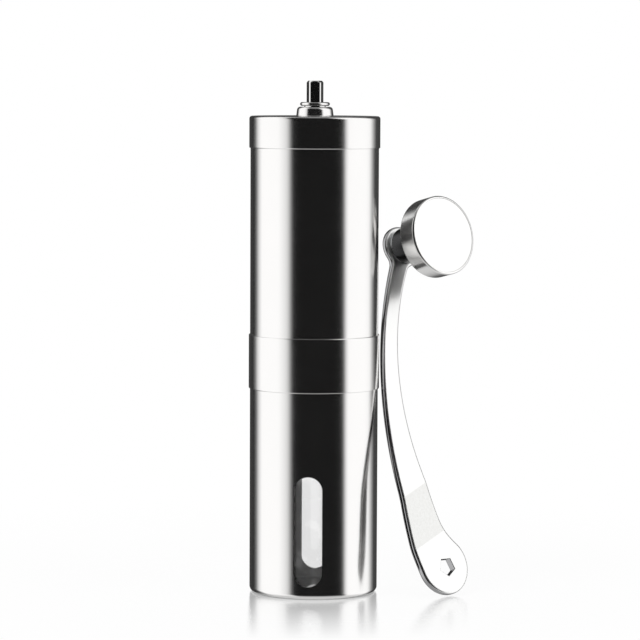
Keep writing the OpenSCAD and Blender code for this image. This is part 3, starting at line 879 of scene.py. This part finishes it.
topEdges, backEdges = [], []
mouth = s["socketMouth"] - s["socketRadius"]
socketRows = [(s["socketRadius"] + inset, -depth) for inset, depth in quarter(mouth, 4)]
socketRows += [(r, -t - z) for r, z in reversed(socketRows)]
for draw, rows in (
    (drawEdge, sideRows),
    (drawSocket, socketRows),
    (drawPinHole, [(s["pinHole"], 0), (s["pinHole"], -t)]),
):
    first, last = ringStack(arm, draw, rows)
    topEdges += first
    backEdges += last
for rim in (topEdges, backEdges):
    bmesh.ops.triangle_fill(arm, edges=[e for e in rim if e.is_valid], use_beauty=True, use_dissolve=False)
direction = Vector((math.cos(math.radians(s["bendTurn"])), math.sin(math.radians(s["bendTurn"])), 0))
for bend in s["bends"]:
    for k in range(-s["bendCuts"], s["bendCuts"] + 1):
        cut = direction * (bend + k * s["bendHalf"] / s["bendCuts"]) * mm
        bmesh.ops.bisect_plane(arm, geom=everything(arm), plane_co=cut, plane_no=direction)
slope = math.atan(s["step"] / (s["bends"][1] - s["bends"][0]))
for v in arm.verts:
    depth = -v.co.z / mm
    u = v.co.dot(direction) / mm - depth * math.tan(slope / 2)
    v.co.z += rampHeight(u, s) * mm
bmesh.ops.recalc_face_normals(arm, faces=arm.faces)
for face in arm.faces:  # 1 the side walls, painted darker as shade; 2 the ramp between the bends, painted greyer as reflection
    u = face.calc_center_median().dot(direction) / mm
    ramp = s["bends"][0] < u < s["bends"][1]
    face.material_index = 1 if abs(face.normal.z) < 0.6 else 2 if ramp else 0
bmesh.ops.transform(arm, matrix=crankPlace, verts=arm.verts)
armFinishes = [tumbledSteel, edgePaintedShadeSteel, rampPaintedReflectionSteel]
makePiece("crankArmPlate", arm, "crank", armFinishes, ["crank_arm"])

# Knob: spun shell on the core, with a round face disc set just below its rim
knobSizes = {
    "radius": 15,
    "wall": 0.8,
    "low": 15.8,
    "high": 23.8,
    "edge": 0.8,
    "neck": 6.75,
    "neckLow": 1.33,
    "faceLow": 22.7,
    "faceHigh": 23.7,
    "faceRadius": 14.1,
    "faceEdge": 0.15,
    "hem": 0.1,
    "neckHem": 0.15,
    "neckRoot": 0.4,
}
s = knobSizes
shell = lathe(
    [
        (s["neck"] - s["wall"], s["neckLow"], s["hem"]),
        (s["neck"], s["neckLow"], s["neckHem"]),
        (s["neck"], s["low"], s["neckRoot"]),
        (s["radius"], s["low"], s["edge"]),
        (s["radius"], s["high"], s["edge"]),
        (s["radius"] - s["wall"], s["high"], s["hem"]),
        (s["radius"] - s["wall"], s["low"] + s["wall"], 0),
        (s["neck"] - s["wall"], s["low"] + s["wall"], 0),
    ],
    knobSteps,
    softening=6,
)
for face in shell.faces:  # the neck, up to where it flares into the drum, takes the finish painted dark as shade
    if face.calc_center_median().z < (s["low"] - 0.5) * mm:
        face.material_index = 1
bmesh.ops.transform(shell, matrix=knobPlace, verts=shell.verts)
makePiece("knobShellSpun", shell, "knob", [spunSteel, neckPaintedShadeSteel], ["knob_shell"])
makePiece(
    "knobFaceDisc",
    lathe(
        [
            (0, s["faceLow"], 0),
            (s["faceRadius"], s["faceLow"], 0),
            (s["faceRadius"], s["faceHigh"], s["faceEdge"]),
            (0, s["faceHigh"], 0),
        ],
        knobSteps,
        place=knobPlace,
    ),
    "knob",
    [spunSteel],
    ["knob_face"],
)
print("crank done")

# CAD pieces that keep their own mesh
keptFinishes = {
    "cup_liner": clearCopolyester,
    "burr_carrier": blackNylon,
    "burr_retainer": blackNylon,
    "upper_bridge": blackNylon,
    "lid_liner": blackNylon,
    "adjuster_knob": blackNylon,
    "knob_core": blackNylon,
    "ring_burr": sinteredAlumina,
    "cone_burr": sinteredAlumina,
    "upper_bush": milkyAcetal,
    "lower_bush": milkyAcetal,
    "adjuster_insert": turnedBrass,
    "retainer_screws": platedSteel,
    "shaft_clip": platedSteel,
    "burr_spring": platedSteel,
    "spring_washer": platedSteel,
    "click_plate": platedSteel,
    "knob_pin": platedSteel,
    "pin_washer": platedSteel,
}
for name, material in keptFinishes.items():
    for place in nodes[name].material_slots:
        place.material = material

# Floor: gloss white, mirroring the object faintly; fine ripple softens the mirror
floorSizes = {
    "half": 30000,
    "sink": 0.02,
    "shadow": (0.12, 0.0),  # share of the matt floor, near and far
    "shadowFade": (60, 260),
    "ripple": 0.45,
    "rippleDepth": 0.036,
    "mirror": (0.6, 0.0),  # share of the mirror, near and far
    "fade": (24, 105),
}
s = floorSizes
work = bmesh.new()
bmesh.ops.create_grid(work, x_segments=2, y_segments=2, size=s["half"] * mm)
floorMesh = bpy.data.meshes.new("floor")
work.to_mesh(floorMesh)
work.free()
floor = bpy.data.objects.new("floor", floorMesh)
scene.collection.objects.link(floor)
floor.location.z = -s["sink"] * mm
floor.visible_glossy = False
gloss = bpy.data.materials.new("glossWhiteSweep")
gloss.use_nodes = True
tree = gloss.node_tree
tree.nodes.clear()
place = addNode(tree, "ShaderNodeTexCoord").outputs["Object"]
ripple = addNode(
    tree, "ShaderNodeTexNoise", {"Vector": place, "Scale": 1 / (s["ripple"] * mm), "Detail": 0.0}
)
rippled = addNode(
    tree,
    "ShaderNodeBump",
    {"Height": ripple.outputs["Fac"], "Strength": 1.0, "Distance": s["rippleDepth"] * mm},
)
away = addNode(tree, "ShaderNodeVectorMath", {0: place}, operation="LENGTH").outputs["Value"]
mirror, shaded = [
    addNode(
        tree,
        "ShaderNodeMapRange",
        {
            "Value": away,
            "From Min": s[reach][0] * mm,
            "From Max": s[reach][1] * mm,
            "To Min": s[amount][0],
            "To Max": s[amount][1],
        },
    ).outputs["Result"]
    for reach, amount in (("fade", "mirror"), ("shadowFade", "shadow"))
]
white = addNode(tree, "ShaderNodeEmission", {"Color": linear("#FFFFFF"), "Strength": 1.0}).outputs[0]
matt = addNode(tree, "ShaderNodeBsdfDiffuse", {"Color": linear("#F6F6F6")}).outputs[0]
shine = addNode(
    tree,
    "ShaderNodeBsdfGlossy",
    {"Color": linear("#FFFFFF"), "Roughness": 0.0, "Normal": rippled.outputs["Normal"]},
).outputs[0]
plain = addNode(tree, "ShaderNodeMixShader", {0: shaded, 1: white, 2: matt}).outputs[0]
seen = addNode(tree, "ShaderNodeMixShader", {0: mirror, 1: plain, 2: shine}).outputs[0]
rays = addNode(tree, "ShaderNodeLightPath").outputs
direct = addNode(
    tree, "ShaderNodeMath", {0: rays["Is Camera Ray"], 1: rays["Is Transmission Ray"]}, operation="MAXIMUM"
).outputs[0]
out = addNode(tree, "ShaderNodeMixShader", {0: direct, 1: matt, 2: seen}).outputs[0]
addNode(tree, "ShaderNodeOutputMaterial", {"Surface": out})
floorMesh.materials.append(gloss)

# Studio: two tall white walls at the sides, a dark strip round the camera and dark corners behind.
# Angles in degrees round the object, 0 towards the camera and plus to its right.
studio = {
    "walls": [
        (-180, 0.12), (-168, 0.06), (-136, 0.03), (-126, 0.22), (-118, 0.85), (-108, 1.2), (-66, 1.2),
        (-55, 1.0), (-49, 0.86), (-45.5, 0.6), (-42, 0.22), (-39.5, 0.01), (-36, 0.006), (46, 0.006),
        (52, 0.015), (54.5, 0.14), (57.5, 0.7), (61, 1.08), (64, 1.2), (104, 1.2), (116, 1.12),
        (122, 0.75), (128, 0.38), (138, 0.06), (168, 0.05), (180, 0.12),
    ],
    "drift": 0.36,  # radians that the walls lean per unit of height
    "pivot": 0.07,  # depth below level at which they stand at the angles above
    "ceiling": (0.8, 0.95, 0.3),  # heights between which the walls turn to the ceiling, and its level
    "ground": (-0.45, -0.8, 0.7),
    "ambient": 0.6,
}
world = bpy.data.worlds.new("studio")
scene.world = world
world.use_nodes = True
tree = world.node_tree
tree.nodes.clear()
skyward = addNode(tree, "ShaderNodeTexCoord").outputs["Generated"]
way = addNode(tree, "ShaderNodeSeparateXYZ", {0: skyward}).outputs
ahead = addNode(tree, "ShaderNodeMath", {0: way["Y"], 1: -1.0}, operation="MULTIPLY").outputs[0]
angle = addNode(tree, "ShaderNodeMath", {0: way["X"], 1: ahead}, operation="ARCTAN2").outputs[0]
raised = addNode(tree, "ShaderNodeMath", {0: way["Z"], 1: studio["pivot"]}, operation="ADD").outputs[0]
leaned = addNode(
    tree, "ShaderNodeMath", {0: raised, 1: studio["drift"], 2: angle}, operation="MULTIPLY_ADD"
).outputs[0]
share = addNode(
    tree,
    "ShaderNodeMapRange",
    {"Value": leaned, "From Min": -math.pi, "From Max": math.pi, "To Min": 0.0, "To Max": 1.0},
).outputs["Result"]
walls = addNode(tree, "ShaderNodeValToRGB", {"Fac": share})
ramp = walls.color_ramp
ramp.interpolation = "LINEAR"
for degrees, level in studio["walls"][1:-1]:
    ramp.elements.new((degrees + 180) / 360).color = (level, level, level, 1.0)
for end in (0, -1):
    level = studio["walls"][end][1]
    ramp.elements[end].color = (level, level, level, 1.0)
seen = walls.outputs["Color"]
for low, high, level in (studio["ceiling"], studio["ground"]):
    part = addNode(tree, "ShaderNodeMapRange", {"Value": way["Z"], "From Min": low, "From Max": high})
    seen = addNode(
        tree,
        "ShaderNodeMix",
        {"Factor": part.outputs["Result"], 6: seen, 7: (level, level, level, 1.0)},
        data_type="RGBA",
    ).outputs[2]
wallLight, whiteLight, softLight = [
    addNode(tree, "ShaderNodeBackground", {"Color": colour, "Strength": strength}).outputs[0]
    for colour, strength in ((seen, 1.0), (linear("#FFFFFF"), 1.0), (linear("#FFFFFF"), studio["ambient"]))
]
rays = addNode(tree, "ShaderNodeLightPath").outputs
plainSeen = rays["Is Singular Ray"]
for ray in ("Is Camera Ray", "Is Transmission Ray"):
    plainSeen = addNode(tree, "ShaderNodeMath", {0: plainSeen, 1: rays[ray]}, operation="MAXIMUM").outputs[0]
lit = addNode(tree, "ShaderNodeMixShader", {0: rays["Is Glossy Ray"], 1: softLight, 2: wallLight}).outputs[0]
out = addNode(tree, "ShaderNodeMixShader", {0: plainSeen, 1: lit, 2: whiteLight}).outputs[0]
addNode(tree, "ShaderNodeOutputWorld", {"Surface": out})

# Soft lamps for the matt pieces; the steel is lit by the walls above
lampPlan = {
    "keyLamp": {"place": (-0.8, -0.7, 0.9), "size": 0.8, "power": 5.0},
    "fillLamp": {"place": (0.9, -0.5, 0.6), "size": 0.7, "power": 2.4},
    "topLamp": {"place": (0.05, 0.35, 1.2), "size": 0.9, "power": 3.0},
}
lampAim = Vector((0, 0, 0.09))  # the middle of the grinder, in metres as the places are
for name, plan in lampPlan.items():
    lamp = bpy.data.lights.new(name, "AREA")
    lamp.shape, lamp.size, lamp.energy = "SQUARE", plan["size"], plan["power"]
    holder = bpy.data.objects.new(name, lamp)
    scene.collection.objects.link(holder)
    holder.location = plan["place"]
    holder.rotation_euler = (lampAim - Vector(plan["place"])).to_track_quat("-Z", "Y").to_euler()
    holder.visible_glossy = False
    holder.visible_camera = False

# Camera: a long lens just above the grinder, tipped down a little
cameraPlan = {
    "place": (0, -1169.7, 190.77),
    "pitch": 0.0764,  # radians, as yaw and roll
    "yaw": 0.00187,
    "roll": 0.0042,
    "lens": 177.795,
    "sensor": 36,
    "clip": (0.05, 20),  # metres
}
s = cameraPlan
level = Vector((math.sin(s["yaw"]), math.cos(s["yaw"]), 0))
ahead = math.cos(s["pitch"]) * level - math.sin(s["pitch"]) * Vector((0, 0, 1))
right = Vector((level.y, -level.x, 0))
up = right.cross(ahead)
rolled = math.cos(s["roll"]) * right + math.sin(s["roll"]) * up
upright = -math.sin(s["roll"]) * right + math.cos(s["roll"]) * up
lens = bpy.data.cameras.new("camera")
lens.lens, lens.sensor_width = s["lens"], s["sensor"]
lens.clip_start, lens.clip_end = s["clip"]
camera = bpy.data.objects.new("camera", lens)
scene.collection.objects.link(camera)
turn = Matrix((rolled, upright, -ahead)).transposed().to_4x4()
camera.matrix_world = Matrix.Translation(Vector(s["place"]) * mm) @ turn
scene.camera = camera
scene.view_settings.view_transform = "Standard"
print("stage done")
